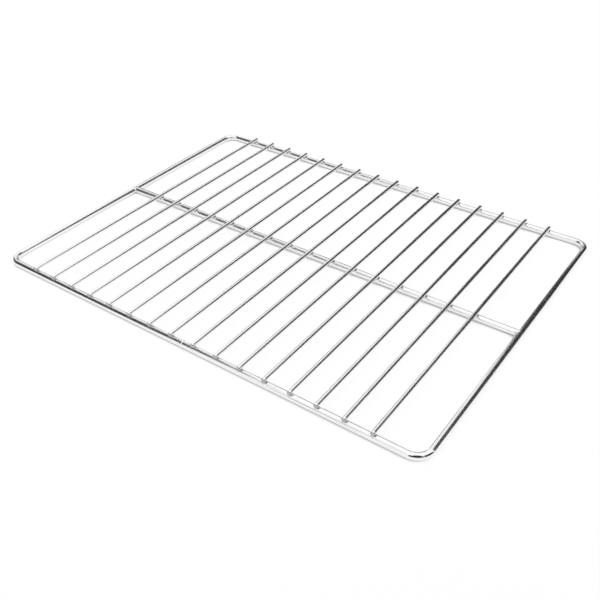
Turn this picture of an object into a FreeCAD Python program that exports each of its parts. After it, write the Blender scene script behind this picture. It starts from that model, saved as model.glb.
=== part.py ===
import FreeCAD, Part
import math
import os

# Oven shelf rack: a bent rod frame, one crossbar under the shelf, and a row of
# thinner shelf wires welded across the top. X runs along the long rails, Y from
# front to back, Z up, and the rack stands on Z = 0. All sizes are millimetres.

Vector = FreeCAD.Vector
X_AXIS = Vector(1, 0, 0)
Y_AXIS = Vector(0, 1, 0)
Z_AXIS = Vector(0, 0, 1)

# Frame: one rod bent to a rounded rectangle
frame_width = 456.4          # outside, across the two side rails
frame_depth = 340.4          # outside, across the front and back rails
rod_diameter = 6.4           # frame rod and crossbar
bend_radius = 13.0           # corner bends, at the rod's centre line

# Butt weld that closes the frame in the middle of the front rail
butt_weld_length = 5.0
butt_weld_height = 0.4       # how far the weld stands proud of the rod

# Crossbar under the shelf wires
crossbar_offset = 2.0        # how far behind the middle it is welded
end_set_in = 0.8             # how deep each weld sinks its end on to a side rail
end_weld_length = 3.0        # weld round each end, along the crossbar
end_weld_height = 0.6        # how far that weld stands proud of the rod

# Shelf wires
wire_diameter = 4.1
wire_pitch = 24.6
least_side_gap = 38.0        # from a side rail's centre line to the nearest wire
wire_overhang = 2.2          # wire end past the centre line of the rail under it
weld_set_down = 0.3          # how deep each weld sinks a wire on to its rods
flash_spread = 0.7           # how far squeezed-out metal comes past the wire's side
flash_length = 2.4           # the same metal, along the wire

# The underside of the welds is dressed back to clear what the rack slides on
weld_dressing = 0.7          # height above the rack's underside

# Places worked out from those sizes
rod_radius = rod_diameter / 2
wire_radius = wire_diameter / 2
rail_span = frame_width - rod_diameter
rail_reach = frame_depth - rod_diameter
front_y = -rail_reach / 2
back_y = rail_reach / 2
rail_z = rod_radius
wire_z = rod_diameter + wire_radius - weld_set_down
flash_top = wire_radius - weld_set_down
wire_count = 1 + math.floor((rail_span - 2 * least_side_gap) / wire_pitch)
first_wire_x = -wire_pitch * (wire_count - 1) / 2


def round_bar(radius, start, end):
    """A straight round bar between two points."""
    run = end.sub(start)
    return Part.makeCylinder(radius, run.Length, start, run)


def corner_bend(centre, start_angle):
    """A quarter turn of the frame rod around a corner's centre."""
    ring = Part.makeTorus(bend_radius, rod_radius, centre, Z_AXIS, -180, 180, 90)
    ring.rotate(centre, Z_AXIS, start_angle)
    return ring


def dressed(weld):
    """A weld with its underside ground away."""
    box = weld.BoundBox
    margin = rod_diameter
    ground = Part.makeBox(box.XLength + 2 * margin, box.YLength + 2 * margin, margin + weld_dressing,
                          Vector(box.XMin - margin, box.YMin - margin, -margin))
    return weld.cut(ground)


def ring_weld(x, y, length, height):
    """A low ridge of weld metal round a rod that runs along X."""
    half = length / 2
    profile = [(-half, 0), (-half, rod_radius), (0, rod_radius + height), (half, rod_radius), (half, 0)]
    points = [Vector(x + along, y, rail_z + out) for along, out in profile]
    section = Part.Face(Part.makePolygon(points + points[:1]))
    return dressed(section.revolve(points[0], X_AXIS, 360))


def side_rail(side):
    """The straight run of the left (-1) or right (+1) rail."""
    x = side * rail_span / 2
    straight = rail_reach / 2 - bend_radius
    return round_bar(rod_radius, Vector(x, -straight, rail_z), Vector(x, straight, rail_z))


def long_rail(y):
    """The straight run of the front or back rail."""
    straight = rail_span / 2 - bend_radius
    return round_bar(rod_radius, Vector(-straight, y, rail_z), Vector(straight, y, rail_z))


def make_frame():
    pieces = [side_rail(-1), side_rail(1), long_rail(front_y), long_rail(back_y)]
    corner_x = rail_span / 2 - bend_radius
    corner_y = rail_reach / 2 - bend_radius
    corners = [(1, 1, 0), (-1, 1, 90), (-1, -1, 180), (1, -1, 270)]
    for side, end, angle in corners:
        pieces.append(corner_bend(Vector(side * corner_x, end * corner_y, rail_z), angle))
    pieces.append(ring_weld(0, front_y, butt_weld_length, butt_weld_height))
    return pieces[0].multiFuse(pieces[1:]).removeSplitter()


def make_crossbar():
    """The support rod, hollowed at its ends to seat on the side rails and welded round."""
    half = rail_span / 2 - rod_radius + end_set_in
    weld_x = half - end_weld_length / 2
    bar = round_bar(rod_radius, Vector(-half, crossbar_offset, rail_z), Vector(half, crossbar_offset, rail_z))
    welds = [ring_weld(side * weld_x, crossbar_offset, end_weld_length, end_weld_height) for side in (-1, 1)]
    return bar.multiFuse(welds).cut(side_rail(-1)).cut(side_rail(1)).removeSplitter()


def weld_flash(y):
    """Metal squeezed out to both sides of a wire where it is welded to a rod."""
    spread_at_rod = wire_radius + flash_spread
    slope = (spread_at_rod - flash_top) / (wire_z - rod_diameter)
    foot = spread_at_rod + slope * rod_radius
    start_y = y - flash_length / 2
    corners = [(-foot, rail_z), (foot, rail_z), (flash_top, wire_z), (-flash_top, wire_z)]
    points = [Vector(x, start_y, z) for x, z in corners]
    section = Part.Face(Part.makePolygon(points + points[:1]))
    return section.extrude(Y_AXIS * flash_length)


def make_shelf_wire():
    """One wire in the middle of the rack, seated on the rails and the crossbar."""
    start = Vector(0, front_y - wire_overhang, wire_z)
    end = Vector(0, back_y + wire_overhang, wire_z)
    wire = round_bar(wire_radius, start, end)
    seats = [front_y, crossbar_offset, back_y]
    wire = wire.multiFuse([weld_flash(y) for y in seats])
    half = rail_span / 2 - bend_radius
    for y in seats:
        wire = wire.cut(round_bar(rod_radius, Vector(-half, y, rail_z), Vector(half, y, rail_z)))
    return wire.removeSplitter()


os.makedirs("parts", exist_ok=True)

make_frame().exportStep("parts/frame.step")
make_crossbar().exportStep("parts/crossbar.step")

shelf_wire = make_shelf_wire()
for number in range(wire_count):
    wire = shelf_wire.copy()
    wire.translate(X_AXIS * (first_wire_x + number * wire_pitch))
    wire.exportStep(f"parts/shelf_wire_{number + 1:02d}.step")
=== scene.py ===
import math

import bmesh
import bpy
from mathutils import Matrix, Vector, noise


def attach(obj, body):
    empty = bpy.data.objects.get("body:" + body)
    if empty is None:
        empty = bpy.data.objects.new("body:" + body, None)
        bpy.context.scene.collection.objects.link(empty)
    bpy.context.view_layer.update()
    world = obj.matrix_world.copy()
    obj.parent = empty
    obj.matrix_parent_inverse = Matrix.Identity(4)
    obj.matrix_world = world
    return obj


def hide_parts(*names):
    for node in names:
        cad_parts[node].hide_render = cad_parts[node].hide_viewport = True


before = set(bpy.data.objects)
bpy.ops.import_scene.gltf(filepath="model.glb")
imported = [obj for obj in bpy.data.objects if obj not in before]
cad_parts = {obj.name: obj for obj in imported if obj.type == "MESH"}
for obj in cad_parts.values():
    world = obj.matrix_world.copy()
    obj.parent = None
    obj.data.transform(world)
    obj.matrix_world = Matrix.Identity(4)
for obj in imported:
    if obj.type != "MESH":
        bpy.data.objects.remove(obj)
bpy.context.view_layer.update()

# The rack's sizes, in metres, as its solids have them
MM = 0.001
ROD_RADIUS = 3.2 * MM
RAIL_SPAN = 450.0 * MM
RAIL_REACH = 334.0 * MM
BEND_RADIUS = 13.0 * MM
FRONT_Y = -RAIL_REACH / 2
BACK_Y = RAIL_REACH / 2
CROSSBAR_Y = 2.0 * MM
WIRE_NODES = sorted(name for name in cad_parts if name.startswith("shelf_wire_"))
WIRE_COUNT = len(WIRE_NODES)
WIRE_RADIUS = 2.05 * MM
WIRE_PITCH = 24.6 * MM
WIRE_OVERHANG = 2.2 * MM
WIRE_LENGTH = RAIL_REACH + 2 * WIRE_OVERHANG
WIRE_AXIS_Z = 8.15 * MM
LAST_WIRE_X = WIRE_PITCH * (WIRE_COUNT - 1) / 2
WELD_Z = 6.3 * MM
WELD_DRESSING = 0.7 * MM

# The attribute that holds each point's place across and along its rod
ROD_SPACE = "rod_space"


def placed(name, mesh):
    """An object with this mesh, at the origin."""
    mesh.name = name
    made = bpy.data.objects.new(name, mesh)
    bpy.context.collection.objects.link(made)
    return made


# Node trees

def fill(tree, socket, value):
    """Links a socket to another one, or sets its value."""
    if isinstance(value, bpy.types.NodeSocket):
        tree.links.new(value, socket)
    else:
        socket.default_value = value


def put(tree, kind, inputs=None, **settings):
    """Adds a node, sets its options, and fills its inputs by name or number."""
    node = tree.nodes.new(kind)
    for name, value in settings.items():
        setattr(node, name, value)
    for name, value in (inputs or {}).items():
        fill(tree, node.inputs[name], value)
    return node


def maths(tree, operation, *values):
    """A Math node's result."""
    return put(tree, "ShaderNodeMath", dict(enumerate(values)), operation=operation).outputs[0]


def vector(tree, **parts):
    """A vector with these parts, and zero for those that aren't given."""
    return put(tree, "ShaderNodeCombineXYZ", parts).outputs[0]


def xyz(tree, value):
    """A vector's three parts."""
    return put(tree, "ShaderNodeSeparateXYZ", {0: value}).outputs


def times(tree, value, factors):
    """A vector stretched by a factor along each axis."""
    return put(tree, "ShaderNodeVectorMath", {0: value, 1: factors}, operation="MULTIPLY").outputs[0]


def position(tree):
    """Where each point of a geometry tree is."""
    return put(tree, "GeometryNodeInputPosition").outputs[0]


def noise_texture(tree, place, fineness, detail, roughness=0.5):
    """Noise from 0 to 1 over a place."""
    inputs = {"Vector": place, "Scale": fineness, "Detail": detail, "Roughness": roughness}
    return put(tree, "ShaderNodeTexNoise", inputs).outputs[0]


def smooth_step(tree, value, low, high, to_low=0.0, to_high=1.0):
    """A value carried smoothly from one range to another."""
    inputs = {"Value": value, "From Min": low, "From Max": high, "To Min": to_low, "To Max": to_high}
    return put(tree, "ShaderNodeMapRange", inputs, interpolation_type="SMOOTHSTEP").outputs[0]


def mixed(tree, amount, low, high):
    """A colour between two others."""
    return put(tree, "ShaderNodeMix", {0: amount, 6: low, 7: high}, data_type="RGBA").outputs[2]


SOCKETS = {float: "NodeSocketFloat", int: "NodeSocketInt", tuple: "NodeSocketVector"}


def shader_group(name, inputs, outputs):
    """A shader node group with named inputs and number outputs, and its group input's sockets."""
    tree = bpy.data.node_groups.new(name, "ShaderNodeTree")
    for label, value in inputs.items():
        socket = tree.interface.new_socket(label, in_out="INPUT", socket_type=SOCKETS[type(value)])
        socket.default_value = value
    for label in outputs:
        tree.interface.new_socket(label, in_out="OUTPUT", socket_type="NodeSocketFloat")
    return tree, put(tree, "NodeGroupInput").outputs


def geometry_tree(name, sizes):
    """A geometry tree with one named input for each size, and its group input's sockets."""
    tree = bpy.data.node_groups.new(name, "GeometryNodeTree")
    tree.interface.new_socket("Geometry", in_out="OUTPUT", socket_type="NodeSocketGeometry")
    for label, value in sizes.items():
        tree.interface.new_socket(label, in_out="INPUT", socket_type=SOCKETS[type(value)])
    tree.interface.new_socket("Finish", in_out="INPUT", socket_type="NodeSocketMaterial")
    return tree, put(tree, "NodeGroupInput").outputs


def keep_rod_space(tree, geometry, rod_space):
    """Stores each point's place across and along its rod, which the finish reads."""
    inputs = {"Geometry": geometry, "Name": ROD_SPACE, "Value": rod_space}
    kept = put(tree, "GeometryNodeStoreNamedAttribute", inputs, data_type="FLOAT_VECTOR", domain="POINT")
    return kept.outputs[0]


def wire_row(tree, given, height):
    """One point for each wire, in a row along X at this height."""
    gaps = maths(tree, "SUBTRACT", given["Count"], 1.0)
    first = maths(tree, "MULTIPLY", gaps, maths(tree, "MULTIPLY", given["Pitch"], -0.5))
    row = put(tree, "GeometryNodeMeshLine",
              {"Count": given["Count"], "Start Location": vector(tree, X=first, Z=height),
               "Offset": vector(tree, X=given["Pitch"])})
    return row.outputs[0]


def close_tree(tree, geometry, finish):
    """Ends a tree with real geometry in its finish."""
    real = put(tree, "GeometryNodeRealizeInstances", {"Geometry": geometry})
    smooth = put(tree, "GeometryNodeSetShadeSmooth", {"Geometry": real.outputs[0]})
    dressed = put(tree, "GeometryNodeSetMaterial", {"Geometry": smooth.outputs[0], "Material": finish})
    put(tree, "NodeGroupOutput", {"Geometry": dressed.outputs[0]})


def grown(name, tree, sizes, finish):
    """A plain mesh object made by a geometry tree at these sizes."""
    seed_mesh = bpy.data.meshes.new(name + "_seed")
    maker = placed(name + "_maker", seed_mesh)
    modifier = maker.modifiers.new("tree", "NODES")
    modifier.node_group = tree
    values = dict(sizes, Finish=finish)
    for socket in tree.interface.items_tree:
        if socket.in_out == "INPUT":
            modifier[socket.identifier] = values[socket.name]
    graph = bpy.context.evaluated_depsgraph_get()
    mesh = bpy.data.meshes.new_from_object(maker.evaluated_get(graph), depsgraph=graph)
    bpy.data.objects.remove(maker)
    bpy.data.meshes.remove(seed_mesh)
    return placed(name, mesh)


# Bright plating: its colours, and where each mark on it begins and is full
PLATING = (0.90, 0.902, 0.905, 1.0)
PLATING_HAZED = (0.85, 0.853, 0.857, 1.0)
# heat stain and painted crevice shade round each weld, also the dark patches on the weld beads
WELD_STAIN_AND_CREVICE_SHADE = (0.2, 0.194, 0.184, 1.0)
PLATING_OVER_CUT = (0.42, 0.42, 0.417, 1.0)
HAZE_RANGE = (0.42, 0.68)
LINE_RANGE = (0.3, 0.75)
PIT_RANGE = (0.30, 0.22)
CUT_LINE_RANGE = (0.35, 0.65)
CUT_LINE_SHARE = (0.7, 1.0)
CUT_DEPTH = (0.32 * MM, 0.1 * MM)

# How rough the plating is on the frame rods and on the wires, and what each mark adds to that
FRAME_ROUGHNESS = 0.11
WIRE_ROUGHNESS = 0.14
LINE_ROUGHNESS = 0.07
HAZE_ROUGHNESS = 0.05
HEAT_ROUGHNESS = 0.2
CUT_ROUGHNESS = 0.25

# Marks along a drawn rod: how far they are drawn out, how fine they are, and how deep
LINE_STRETCH = (1.0, 1.0, 0.012)
HAZE_STRETCH = (1.0, 1.0, 0.35)
LINE_FINENESS = 5200.0
HAZE_FINENESS = 60.0
PIT_FINENESS = 1400.0
LINE_RELIEF = 0.7
DRAWN_RELIEF = 0.04 * MM
DRAWN_BUMP = 0.5

# The dull, darker ring round a weld, heat stain and painted crevice shade: its reach, the share of that
# where it is full, its ragged edge, its dullness
STAIN_SHADE_REACH = 3.4 * MM
STAIN_SHADE_CORE = 0.3
STAIN_SHADE_FINENESS = 700.0
STAIN_SHADE_SHARE = 0.6

# Weld metal under the plating: its lumps, darker in patches from weld stain and painted crevice shade, and
# its finer spatter
LUMP_FINENESS = 900.0
LUMP_STAIN_SHADE_RANGE = (0.4, 0.68)
SPATTER_FINENESS = 2600.0
SPATTER_RANGE = (0.3, 0.7)
SPATTER_ROUGHNESS = (0.14, 0.34)
SPATTER_RELIEF = 0.4
WELD_RELIEF = 0.06 * MM
WELD_BUMP = 0.6


def drawn_wire_group():
    """Marks that run along a drawn and plated wire: fine lines, haze and small pits."""
    tree, given = shader_group(
        "drawn_wire_marks",
        {"Rod Space": (0.0, 0.0, 0.0), "Line Fineness": LINE_FINENESS, "Haze Fineness": HAZE_FINENESS},
        ("Lines", "Haze", "Height"))
    rod_space = given["Rod Space"]
    lines = noise_texture(tree, times(tree, rod_space, LINE_STRETCH), given["Line Fineness"],
                          detail=3.0, roughness=0.6)
    haze = noise_texture(tree, times(tree, rod_space, HAZE_STRETCH), given["Haze Fineness"],
                         detail=4.0, roughness=0.55)
    pits = smooth_step(tree, noise_texture(tree, rod_space, PIT_FINENESS, detail=2.0), *PIT_RANGE)
    height = maths(tree, "SUBTRACT", maths(tree, "MULTIPLY", lines, LINE_RELIEF), pits)
    put(tree, "NodeGroupOutput", {"Lines": lines, "Haze": haze, "Height": height})
    return tree


def weld_stain_shade_group():
    """Where the plating near a weld is duller and darker, by the distance from the weld: heat stain and
    painted crevice shade.
    """
    tree, given = shader_group(
        "weld_stain_shade", {"Distance": 0.0, "Reach": STAIN_SHADE_REACH, "Rod Space": (0.0, 0.0, 0.0)}, ("Stain And Shade",))
    ragged = noise_texture(tree, given["Rod Space"], STAIN_SHADE_FINENESS, detail=3.0)
    wobble = maths(tree, "MULTIPLY", maths(tree, "SUBTRACT", ragged, 0.5), given["Reach"])
    reached = maths(tree, "ADD", given["Distance"], wobble)
    core = maths(tree, "MULTIPLY", given["Reach"], STAIN_SHADE_CORE)
    put(tree, "NodeGroupOutput", {"Stain And Shade": smooth_step(tree, reached, given["Reach"], core)})
    return tree


DRAWN_WIRE = drawn_wire_group()
WELD_STAIN_SHADE = weld_stain_shade_group()


def distance_from_weld(tree, place):
    """How far a point of the rack is from the middle of the nearest crossing's weld."""
    x, y, z = xyz(tree, place)
    across = maths(tree, "PINGPONG", maths(tree, "SUBTRACT", x, WIRE_PITCH / 2), WIRE_PITCH / 2)
    past_last = maths(tree, "SUBTRACT", maths(tree, "ABSOLUTE", x), LAST_WIRE_X)
    across = maths(tree, "MAXIMUM", across, past_last)
    front, middle, back = [maths(tree, "ABSOLUTE", maths(tree, "SUBTRACT", y, rod_y))
                           for rod_y in (FRONT_Y, CROSSBAR_Y, BACK_Y)]
    along = maths(tree, "MINIMUM", maths(tree, "MINIMUM", front, middle), back)
    above = maths(tree, "SUBTRACT", z, WELD_Z)
    gap = vector(tree, X=across, Y=along, Z=above)
    return put(tree, "ShaderNodeVectorMath", {0: gap}, operation="LENGTH").outputs["Value"]


def bare_metal(name):
    """A metal material, its node tree and its shader."""
    finish = bpy.data.materials.new(name)
    finish.use_nodes = True
    shader = finish.node_tree.nodes["Principled BSDF"]
    shader.inputs["Metallic"].default_value = 1.0
    return finish, finish.node_tree, shader


def plated_steel(name, roughness, length=None):
    """Bright plating on drawn steel, duller near a weld, where heat stain and painted crevice shade darken
    it, and on the sheared ends of a rod of this length.
    """
    finish, tree, shader = bare_metal(name)
    rod_space = put(tree, "ShaderNodeAttribute", attribute_name=ROD_SPACE).outputs["Vector"]
    place = put(tree, "ShaderNodeTexCoord").outputs["Object"]
    marks = put(tree, "ShaderNodeGroup", {"Rod Space": rod_space}, node_tree=DRAWN_WIRE).outputs
    hazed = smooth_step(tree, marks["Haze"], *HAZE_RANGE)
    colour = mixed(tree, hazed, PLATING, PLATING_HAZED)
    gloss = smooth_step(tree, marks["Lines"], *LINE_RANGE, roughness, roughness + LINE_ROUGHNESS)
    gloss = maths(tree, "MULTIPLY_ADD", hazed, HAZE_ROUGHNESS, gloss)
    stain_shade_node = put(tree, "ShaderNodeGroup",
               {"Distance": distance_from_weld(tree, place), "Reach": STAIN_SHADE_REACH, "Rod Space": rod_space},
               node_tree=WELD_STAIN_SHADE)
    # painted crevice shade with heat stain: the plating darkens round each crossing
    stain_and_shade = maths(tree, "MULTIPLY", stain_shade_node.outputs["Stain And Shade"], STAIN_SHADE_SHARE)
    colour = mixed(tree, stain_and_shade, colour, WELD_STAIN_AND_CREVICE_SHADE)
    gloss = maths(tree, "MULTIPLY_ADD", stain_and_shade, HEAT_ROUGHNESS, gloss)
    if length:
        from_middle = maths(tree, "ABSOLUTE", xyz(tree, place)[1])
        from_end = maths(tree, "SUBTRACT", length / 2, from_middle)
        grain = smooth_step(tree, marks["Lines"], *CUT_LINE_RANGE, *CUT_LINE_SHARE)
        sheared = maths(tree, "MULTIPLY", smooth_step(tree, from_end, *CUT_DEPTH), grain)
        colour = mixed(tree, sheared, colour, PLATING_OVER_CUT)
        gloss = maths(tree, "MULTIPLY_ADD", sheared, CUT_ROUGHNESS, gloss)
    bump = put(tree, "ShaderNodeBump",
               {"Strength": DRAWN_BUMP, "Distance": DRAWN_RELIEF, "Height": marks["Height"]})
    fill(tree, shader.inputs["Base Color"], colour)
    fill(tree, shader.inputs["Roughness"], gloss)
    fill(tree, shader.inputs["Normal"], bump.outputs[0])
    return finish


def plated_weld(name):
    """Plating over weld metal: rougher, lumpy and darker in patches, weld stain with painted crevice shade.
    """
    finish, tree, shader = bare_metal(name)
    place = put(tree, "ShaderNodeTexCoord").outputs["Object"]
    lumps = noise_texture(tree, place, LUMP_FINENESS, detail=4.0)
    spatter = noise_texture(tree, place, SPATTER_FINENESS, detail=2.0)
    # dark patches on the beads: weld stain and painted crevice shade
    colour = mixed(tree, smooth_step(tree, lumps, *LUMP_STAIN_SHADE_RANGE), PLATING, WELD_STAIN_AND_CREVICE_SHADE)
    gloss = smooth_step(tree, spatter, *SPATTER_RANGE, *SPATTER_ROUGHNESS)
    height = maths(tree, "MULTIPLY_ADD", spatter, SPATTER_RELIEF, lumps)
    bump = put(tree, "ShaderNodeBump", {"Strength": WELD_BUMP, "Distance": WELD_RELIEF, "Height": height})
    fill(tree, shader.inputs["Base Color"], colour)
    fill(tree, shader.inputs["Roughness"], gloss)
    fill(tree, shader.inputs["Normal"], bump.outputs[0])
    return finish


FRAME_FINISH = plated_steel("bright_plating_frame", FRAME_ROUGHNESS)
WIRE_FINISH = plated_steel("bright_plating_wires", WIRE_ROUGHNESS, WIRE_LENGTH)
WELD_FINISH = plated_weld("plating_over_welds")


# The bent frame rod

def frame_tree(sizes):
    """A round rod bent to a rectangle with rounded corners."""
    tree, given = geometry_tree("bent_frame_rod", sizes)
    rectangle = put(tree, "GeometryNodeCurvePrimitiveQuadrilateral",
                    {"Width": given["Rail Span"], "Height": given["Rail Reach"]})
    bends = put(tree, "GeometryNodeFilletCurve",
                {"Curve": rectangle.outputs[0], "Count": given["Bend Steps"],
                 "Radius": given["Bend Radius"]}, mode="POLY")
    path = put(tree, "GeometryNodeTransform",
               {"Geometry": bends.outputs[0], "Translation": vector(tree, Z=given["Rod Radius"])})
    section = put(tree, "GeometryNodeCurvePrimitiveCircle",
                  {"Resolution": given["Sides"], "Radius": given["Rod Radius"]})
    # each point of the rod remembers its place on the section
    kept = put(tree, "GeometryNodeCaptureAttribute", {"Geometry": section.outputs[0]}, domain="POINT")
    kept.capture_items.new("VECTOR", "Around")
    fill(tree, kept.inputs["Around"], position(tree))
    rod = put(tree, "GeometryNodeCurveToMesh",
              {"Curve": path.outputs[0], "Profile Curve": kept.outputs["Geometry"], "Fill Caps": True})
    around = xyz(tree, kept.outputs["Around"])
    place = xyz(tree, position(tree))
    run = maths(tree, "ADD", place[0], place[1])
    rod_space = vector(tree, X=around[0], Y=around[1], Z=run)
    close_tree(tree, keep_rod_space(tree, rod.outputs[0], rod_space), given["Finish"])
    return tree


FRAME_SIZES = {"Rail Span": RAIL_SPAN, "Rail Reach": RAIL_REACH, "Bend Radius": BEND_RADIUS,
               "Rod Radius": ROD_RADIUS, "Bend Steps": 28, "Sides": 48}
frame_rod = grown("frame_rod", frame_tree(FRAME_SIZES), FRAME_SIZES, FRAME_FINISH)
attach(frame_rod, "root")
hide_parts("frame")


# The shelf wires

def wires_tree(sizes):
    """A row of straight wires with softened ends."""
    tree, given = geometry_tree("shelf_wire_row", sizes)
    line = put(tree, "GeometryNodeCurvePrimitiveLine", {"Start": (0.0, -1.0, 0.0), "End": (0.0, 1.0, 0.0)})
    points = put(tree, "GeometryNodeResampleCurve", {"Curve": line.outputs[0], "Count": given["Steps"]})
    # the points crowd towards both ends, where the wire is rounded
    run = xyz(tree, position(tree))[1]
    from_end = maths(tree, "SUBTRACT", 1.0, maths(tree, "ABSOLUTE", run))
    outwards = maths(tree, "SUBTRACT", 1.0, maths(tree, "POWER", from_end, given["End Crowding"]))
    half = maths(tree, "MULTIPLY", given["Length"], 0.5)
    y = maths(tree, "MULTIPLY", maths(tree, "MULTIPLY", outwards, half), maths(tree, "SIGN", run))
    path = put(tree, "GeometryNodeSetPosition",
               {"Geometry": points.outputs[0], "Position": vector(tree, Y=y)})
    # the wire loses its radius along a curve within the rounding of each end
    to_end = maths(tree, "SUBTRACT", half, maths(tree, "ABSOLUTE", xyz(tree, position(tree))[1]))
    into_end = maths(tree, "SUBTRACT", 1.0, maths(tree, "DIVIDE", to_end, given["End Rounding"]))
    into_end = maths(tree, "MAXIMUM", into_end, 0.0)
    loss = maths(tree, "MULTIPLY", maths(tree, "POWER", into_end, given["End Fall"]),
                 maths(tree, "DIVIDE", given["End Rounding"], given["Wire Radius"]))
    section = put(tree, "GeometryNodeCurvePrimitiveCircle",
                  {"Resolution": given["Sides"], "Radius": given["Wire Radius"]})
    wire = put(tree, "GeometryNodeCurveToMesh",
               {"Curve": path.outputs[0], "Profile Curve": section.outputs[0],
                "Scale": maths(tree, "SUBTRACT", 1.0, loss), "Fill Caps": True})
    x, y, z = xyz(tree, position(tree))
    marked = keep_rod_space(tree, wire.outputs[0], vector(tree, X=x, Y=z, Z=y))
    row = wire_row(tree, given, given["Axis Height"])
    wires = put(tree, "GeometryNodeInstanceOnPoints", {"Points": row, "Instance": marked})
    close_tree(tree, wires.outputs[0], given["Finish"])
    return tree


WIRE_SIZES = {"Length": WIRE_LENGTH, "Wire Radius": WIRE_RADIUS, "End Rounding": 0.45 * MM, "End Fall": 2.5,
              "End Crowding": 4.0, "Axis Height": WIRE_AXIS_Z, "Pitch": WIRE_PITCH, "Count": WIRE_COUNT,
              "Sides": 36, "Steps": 25}
shelf_wires = grown("shelf_wires", wires_tree(WIRE_SIZES), WIRE_SIZES, WIRE_FINISH)
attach(shelf_wires, "root")
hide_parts(*WIRE_NODES)


# The welds where the wires cross the rods: how much a bead's size and turn vary, and its lumps
BEAD_LEAST = (0.92, 0.80, 0.85)
BEAD_MOST = (1.08, 1.15, 1.12)
BEAD_TURN = (0.06, 0.08, 0.2)
BEAD_FINENESS = 420.0


def random_vector(tree, low, high, seed):
    """A random vector for each bead."""
    return put(tree, "FunctionNodeRandomValue", {"Min": low, "Max": high, "Seed": seed},
               data_type="FLOAT_VECTOR").outputs[0]


def crossing_welds_tree(sizes):
    """A bead of squeezed-out metal under each wire on each of the three rods."""
    tree, given = geometry_tree("crossing_welds", sizes)
    ball = put(tree, "GeometryNodeMeshUVSphere",
               {"Segments": given["Segments"], "Rings": given["Rings"], "Radius": 1.0})
    row = wire_row(tree, given, given["Height"])
    rows = put(tree, "GeometryNodeJoinGeometry")
    for label in ("Front Y", "Crossbar Y", "Back Y"):
        moved = put(tree, "GeometryNodeTransform",
                    {"Geometry": row, "Translation": vector(tree, Y=given[label])})
        fill(tree, rows.inputs[0], moved.outputs[0])
    size = vector(tree, X=given["Spread"], Y=given["Length"], Z=given["Rise"])
    size = times(tree, size, random_vector(tree, BEAD_LEAST, BEAD_MOST, given["Size Seed"]))
    turn = random_vector(tree, tuple(-angle for angle in BEAD_TURN), BEAD_TURN, given["Turn Seed"])
    rotation = put(tree, "FunctionNodeEulerToRotation", {"Euler": turn})
    beads = put(tree, "GeometryNodeInstanceOnPoints",
                {"Points": rows.outputs[0], "Instance": ball.outputs[0], "Rotation": rotation.outputs[0],
                 "Scale": size})
    real = put(tree, "GeometryNodeRealizeInstances", {"Geometry": beads.outputs[0]})
    rough = noise_texture(tree, position(tree), BEAD_FINENESS, detail=2.0)
    lump = maths(tree, "MULTIPLY", maths(tree, "SUBTRACT", rough, 0.5), given["Lumpiness"])
    normal = put(tree, "GeometryNodeInputNormal").outputs[0]
    shift = put(tree, "ShaderNodeVectorMath", {0: normal, "Scale": lump}, operation="SCALE")
    lumpy = put(tree, "GeometryNodeSetPosition", {"Geometry": real.outputs[0], "Offset": shift.outputs[0]})
    close_tree(tree, lumpy.outputs[0], given["Finish"])
    return tree


CROSSING_SIZES = {"Spread": WIRE_RADIUS + 0.7 * MM, "Length": 1.25 * MM, "Rise": 1.0 * MM, "Height": WELD_Z,
                  "Pitch": WIRE_PITCH, "Count": WIRE_COUNT, "Front Y": FRONT_Y, "Crossbar Y": CROSSBAR_Y,
                  "Back Y": BACK_Y, "Lumpiness": 0.45 * MM, "Segments": 28, "Rings": 16, "Size Seed": 11,
                  "Turn Seed": 5}
crossing_welds = grown("crossing_welds", crossing_welds_tree(CROSSING_SIZES), CROSSING_SIZES, WELD_FINISH)
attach(crossing_welds, "root")


# The crossbar, flared into its end welds
CROSSBAR_SIDES = 64
FILLET_STEPS = 9
FILLET_RISE = 1.1 * MM       # how far the weld stands out from the bar at its flanks
FILLET_LEAST = 0.10          # the share of that rise that is left on top and underneath
FILLET_FALL = 1.4            # how quickly the rise falls off from the flanks
FILLET_RUN = 1.15            # the weld's length along the bar, as a share of its rise
FILLET_HOLLOW = 0.62         # how far its face is drawn in towards the corner that it fills
FILLET_RIPPLE = 0.16
RIPPLE_FINENESS = 7.0
RIPPLE_SLICE = 3.0
RAIL_HOLD = 0.98             # how high up the rail the weld may reach, as a share of the rail's radius
HIDDEN_END = 0.6             # the width of the closed end inside the rail, as a share of the bar's


def ring_mesh(name, rings, finish, closed_ends=True):
    """A tube through rings of places and rod spaces, closed at both ends or on itself."""
    mesh = bmesh.new()
    space = mesh.verts.layers.float_vector.new(ROD_SPACE)
    loops = []
    for ring in rings:
        loop = []
        for place, rod_space in ring:
            vert = mesh.verts.new(place)
            vert[space] = rod_space
            loop.append(vert)
        loops.append(loop)
    sides = len(loops[0])
    pairs = list(zip(loops, loops[1:]))
    if not closed_ends:
        pairs.append((loops[-1], loops[0]))
    for lower, upper in pairs:
        for side in range(sides):
            after = (side + 1) % sides
            mesh.faces.new((lower[side], lower[after], upper[after], upper[side]))
    if closed_ends:
        mesh.faces.new(loops[0][::-1])
        mesh.faces.new(loops[-1])
    bmesh.ops.recalc_face_normals(mesh, faces=mesh.faces)
    for face in mesh.faces:
        face.smooth = True
    made = bpy.data.meshes.new(name)
    mesh.to_mesh(made)
    mesh.free()
    made.materials.append(finish)
    return placed(name, made)


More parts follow.
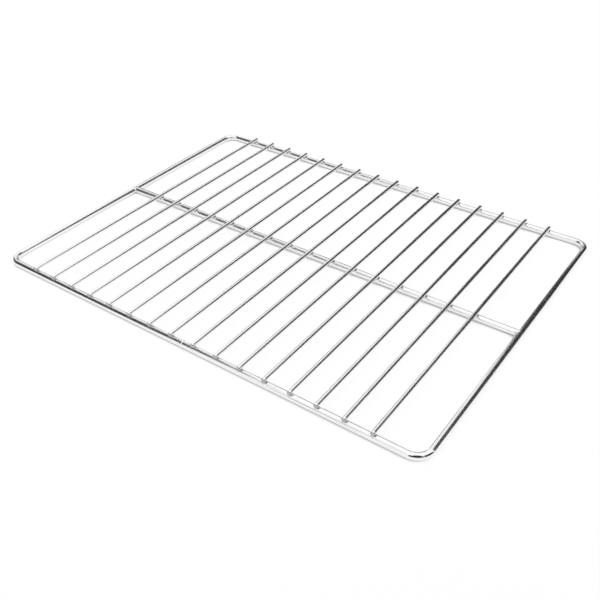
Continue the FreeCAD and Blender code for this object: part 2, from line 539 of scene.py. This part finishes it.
def fillet_point(angle, share):
    """A point of the right end weld's face, 0 at the bar to 1 at the rail, Y and Z from the bar's axis."""
    rail_x = RAIL_SPAN / 2
    flank = abs(math.cos(angle))
    around = (RIPPLE_FINENESS * math.cos(angle), RIPPLE_FINENESS * math.sin(angle), RIPPLE_SLICE)
    ripple = 1.0 + FILLET_RIPPLE * noise.noise(around)
    rise = FILLET_RISE * (FILLET_LEAST + (1 - FILLET_LEAST) * flank ** FILLET_FALL) * ripple
    corner_x = rail_x - ROD_RADIUS * flank
    corner = Vector((corner_x, ROD_RADIUS * math.cos(angle), ROD_RADIUS * math.sin(angle)))
    start = corner - Vector((FILLET_RUN * rise, 0, 0))
    out = ROD_RADIUS + rise
    highest = RAIL_HOLD * ROD_RADIUS
    height = max(-highest, min(highest, out * math.sin(angle)))
    end_x = rail_x - math.sqrt(ROD_RADIUS ** 2 - height ** 2)
    end = Vector((end_x, out * math.cos(angle), height))
    middle = (start + end) / 2
    bend = middle + FILLET_HOLLOW * (corner - middle)
    return (1 - share) ** 2 * start + 2 * share * (1 - share) * bend + share ** 2 * end


def crossbar_rings():
    """Rings from the left rail to the right one, with a fillet of weld at each end."""
    angles = [2 * math.pi * side / CROSSBAR_SIDES for side in range(CROSSBAR_SIDES)]
    half = []
    for step in range(FILLET_STEPS + 1):
        half.append([fillet_point(angle, step / FILLET_STEPS) for angle in angles])
    half.append([Vector((RAIL_SPAN / 2, HIDDEN_END * place.y, HIDDEN_END * place.z)) for place in half[0]])
    rings = []
    for mirror, order in ((-1, half[::-1]), (1, half)):
        for ring in order:
            both = []
            for place in ring:
                x = mirror * place.x
                at = Vector((x, place.y + CROSSBAR_Y, max(place.z + ROD_RADIUS, 0.0)))
                both.append((at, Vector((place.y, place.z, x))))
            rings.append(both)
    return rings


crossbar_rod = ring_mesh("crossbar_rod", crossbar_rings(), FRAME_FINISH)
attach(crossbar_rod, "root")
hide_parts("crossbar")


# The butt weld that closes the frame
BUTT_WELD_AROUND = 72
BUTT_WELD_ACROSS = 14
BUTT_WELD_LENGTH = 2.8 * MM
BUTT_WELD_HEIGHT = 0.2 * MM
BUTT_WELD_ROOT = 0.5 * MM    # how deep its closed inner side lies in the rod
RAGGED_AROUND = 5            # how fine its raggedness is, round the rail and across the weld
RAGGED_ACROSS = 2
RAGGED_RIM = 0.18            # how much of its half length and of its height that takes or adds
RAGGED_HEIGHT = 0.5


def butt_weld_rings():
    """A low, slightly ragged collar of weld round the front rail, dressed flat underneath."""
    rings = []
    for step in range(BUTT_WELD_AROUND):
        angle = 2 * math.pi * step / BUTT_WELD_AROUND
        ring = []
        for side in range(BUTT_WELD_ACROSS):
            turn = 2 * math.pi * side / BUTT_WELD_ACROSS
            ragged = noise.noise((RAGGED_AROUND * math.cos(angle), RAGGED_AROUND * math.sin(angle),
                                  RAGGED_ACROSS * math.cos(turn)))
            x = 0.5 * BUTT_WELD_LENGTH * math.cos(turn) * (1 + RAGGED_RIM * ragged)
            proud = BUTT_WELD_HEIGHT * (1 + RAGGED_HEIGHT * ragged)
            lift = proud if math.sin(turn) > 0 else BUTT_WELD_ROOT
            radius = ROD_RADIUS + lift * math.sin(turn)
            y = FRONT_Y + radius * math.cos(angle)
            z = max(ROD_RADIUS + radius * math.sin(angle), WELD_DRESSING)
            ring.append((Vector((x, y, z)), Vector((y, z, x))))
        rings.append(ring)
    return rings


butt_weld = ring_mesh("frame_butt_weld", butt_weld_rings(), FRAME_FINISH, closed_ends=False)
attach(butt_weld, "root")


# Floor, light and camera

# The white table: its size, its paper, the share that shows plain white, the painted contact shadow where a
# rod touches it
WHITE = (1.0, 1.0, 1.0, 1.0)
TABLE_RADIUS = 12.0
TABLE_SIDES = 96
TABLE_GAP = 0.05 * MM
TABLE_PAPER = (0.93, 0.93, 0.93, 1.0)
TABLE_GLOW = 0.8
TABLE_WHITE = 1.1
CONTACT_SHADOW_LEVEL = 0.42
CONTACT_SHADOW_REACH = 20 * MM
CONTACT_OPEN_SKY = (0.1, 0.52)
LIGHT_FROM = (0.27, 0.26, 0.93)

# The cards that stand round the table, as the rack sees them: each corner is a bearing from +Y towards +X
# and a height, in degrees
CARD_DISTANCE = 1.6
SCREEN_DISTANCE = 0.75
BACK_FLAG = [(-37, 3), (-36, 12), (-33, 21), (-27, 31), (-17, 39), (-8, 44), (4, 49), (18, 55), (36, 56),
             (36, 16), (30, 12), (25, 4), (3, 4), (2, 28), (-10, 26), (-17, 22), (-22, 16), (-27, 3)]
BACK_GREY_CARD = [(41, 4), (36, 16), (36, 56), (45, 52), (60, 38), (68, 15), (68, 4)]
BACK_LEFT_CARD = [(-58, 2), (-58, 24), (-49, 24), (-43, 12), (-43, 2)]
RIGHT_FLAG = [(72, 4), (72, 44), (114, 44), (114, 4)]
FRONT_FLAG = [(160, 4), (160, 40), (177, 40), (177, 4)]
CAMERA_SCREEN = [(118, 4), (122, 52), (140, 58), (152, 52), (158, 4)]
LIGHT_STAND = [(189.3, 42), (192.7, 42), (201.7, 1), (198.0, 1)]
LEFT_FLAG = [(215, 4), (215, 44), (228, 50), (246, 52), (246, 4)]
LEFT_GREY_CARD = [(246, 4), (246, 52), (228, 50), (236, 58), (258, 67), (296, 71), (296, 68), (266, 62),
                  (285, 56), (296, 49), (264, 47), (256, 43), (276, 41), (276, 4)]

# The camera: where it looks, from how far, and how it is turned, in degrees
VIEW_CENTRE = Vector((45.394, -62.899, 3.2)) * MM
CAMERA_DISTANCE = 685.61 * MM
CAMERA_SENSOR = 36.0
CAMERA_LENS = 46.24
CAMERA_TURN = 36.274
CAMERA_TILT = 36.794
CAMERA_ROLL = -1.263


def stage_finish(name):
    """A material without a shader yet, and its node tree."""
    finish = bpy.data.materials.new(name)
    finish.use_nodes = True
    tree = finish.node_tree
    tree.nodes.remove(tree.nodes["Principled BSDF"])
    return finish, tree


def shown_to_camera_and_metal(tree):
    """One for rays from the camera and for those that metal or glass sends on."""
    path = put(tree, "ShaderNodeLightPath").outputs
    seen = maths(tree, "MAXIMUM", path["Is Camera Ray"], path["Is Glossy Ray"])
    return maths(tree, "MAXIMUM", seen, path["Is Transmission Ray"])


def white_table():
    """A wide white table that keeps the rack's shadow, with a painted contact shadow, a thin dark line
    where a rod touches it.
    """
    mesh = bpy.data.meshes.new("white_table")
    made = bmesh.new()
    bmesh.ops.create_circle(made, cap_ends=True, segments=TABLE_SIDES, radius=TABLE_RADIUS)
    made.to_mesh(mesh)
    made.free()
    table = placed("white_table", mesh)
    table.location.z = -TABLE_GAP
    finish, tree = stage_finish("white_table")
    paper = put(tree, "ShaderNodeBsdfDiffuse", {"Color": TABLE_PAPER})
    light_from = vector(tree, **dict(zip("XYZ", LIGHT_FROM)))
    # painted contact shadow: ambient occlusion dims the table's glow near the rods
    sky = put(tree, "ShaderNodeAmbientOcclusion", {"Distance": CONTACT_SHADOW_REACH, "Normal": light_from})
    level = smooth_step(tree, sky.outputs["AO"], *CONTACT_OPEN_SKY, CONTACT_SHADOW_LEVEL, TABLE_WHITE)
    glow = put(tree, "ShaderNodeEmission", {"Color": WHITE, "Strength": level})
    share = maths(tree, "MULTIPLY", shown_to_camera_and_metal(tree), TABLE_GLOW)
    shown = put(tree, "ShaderNodeMixShader", {0: share, 1: paper.outputs[0], 2: glow.outputs[0]})
    fill(tree, tree.nodes["Material Output"].inputs["Surface"], shown.outputs[0])
    mesh.materials.append(finish)


def light_tent():
    """An even white studio tent."""
    world = bpy.data.worlds.new("light_tent")
    bpy.context.scene.world = world
    world.use_nodes = True
    back = world.node_tree.nodes["Background"]
    back.inputs["Color"].default_value = WHITE
    back.inputs["Strength"].default_value = 1.0


def studio_board(name, corners, shader, setting):
    """A flat board outside the picture, which only the rods and the table see."""
    mesh = bpy.data.meshes.new(name)
    mesh.from_pydata(corners, [], [tuple(range(len(corners)))])
    finish, tree = stage_finish(name)
    surface = put(tree, shader, setting)
    fill(tree, tree.nodes["Material Output"].inputs["Surface"], surface.outputs[0])
    mesh.materials.append(finish)
    board = placed(name, mesh)
    board.visible_camera = False


def overhead_panel(left, right, front, back, height, level):
    """A level panel of soft light above the table."""
    corners = [(left, front, height), (right, front, height), (right, back, height), (left, back, height)]
    studio_board("overhead_panel", corners, "ShaderNodeEmission", {"Strength": level})


def standing_card(name, outline, faces, shade, distance=CARD_DISTANCE):
    """An upright card that draws a dark line on the bright rods, square to the bearing it faces from."""
    corners = []
    for bearing, height in outline:
        reach = distance / math.cos(math.radians(bearing - faces))
        turn = math.radians(bearing)
        rise = reach * math.tan(math.radians(height))
        corners.append((reach * math.sin(turn), reach * math.cos(turn), rise))
    studio_board(name, corners, "ShaderNodeBsdfDiffuse", {"Color": (shade, shade, shade, 1.0)})


def photo_camera():
    """The photograph's view."""
    lens = bpy.data.cameras.new("camera")
    lens.sensor_width = CAMERA_SENSOR
    lens.lens = CAMERA_LENS
    camera = bpy.data.objects.new("camera", lens)
    bpy.context.collection.objects.link(camera)
    turn, tilt, roll = [math.radians(angle) for angle in (CAMERA_TURN, CAMERA_TILT, CAMERA_ROLL)]
    right = Vector((math.cos(turn), math.sin(turn), 0))
    back = Vector((math.sin(turn) * math.cos(tilt), -math.cos(turn) * math.cos(tilt), math.sin(tilt)))
    up = back.cross(right)
    rolled_right = math.cos(roll) * right + math.sin(roll) * up
    rolled_up = -math.sin(roll) * right + math.cos(roll) * up
    axes = Matrix((rolled_right, rolled_up, back)).transposed().to_4x4()
    camera.matrix_world = Matrix.Translation(VIEW_CENTRE + back * CAMERA_DISTANCE) @ axes
    bpy.context.scene.camera = camera


white_table()
light_tent()
overhead_panel(left=-0.73, right=1.5, front=-1.8, back=0.86, height=1.4, level=1.12)
standing_card("back_flag", BACK_FLAG, faces=0, shade=0.05)
standing_card("back_grey_card", BACK_GREY_CARD, faces=52, shade=0.11)
standing_card("back_left_card", BACK_LEFT_CARD, faces=-51, shade=0.05)
standing_card("right_flag", RIGHT_FLAG, faces=94, shade=0.06)
standing_card("front_flag", FRONT_FLAG, faces=168, shade=0.07)
standing_card("camera_screen", CAMERA_SCREEN, faces=146, shade=0.05, distance=SCREEN_DISTANCE)
standing_card("light_stand", LIGHT_STAND, faces=196, shade=0.05)
standing_card("left_flag", LEFT_FLAG, faces=230, shade=0.07)
standing_card("left_grey_card", LEFT_GREY_CARD, faces=270, shade=0.25)
photo_camera()
bpy.context.scene.view_settings.view_transform = "Standard"
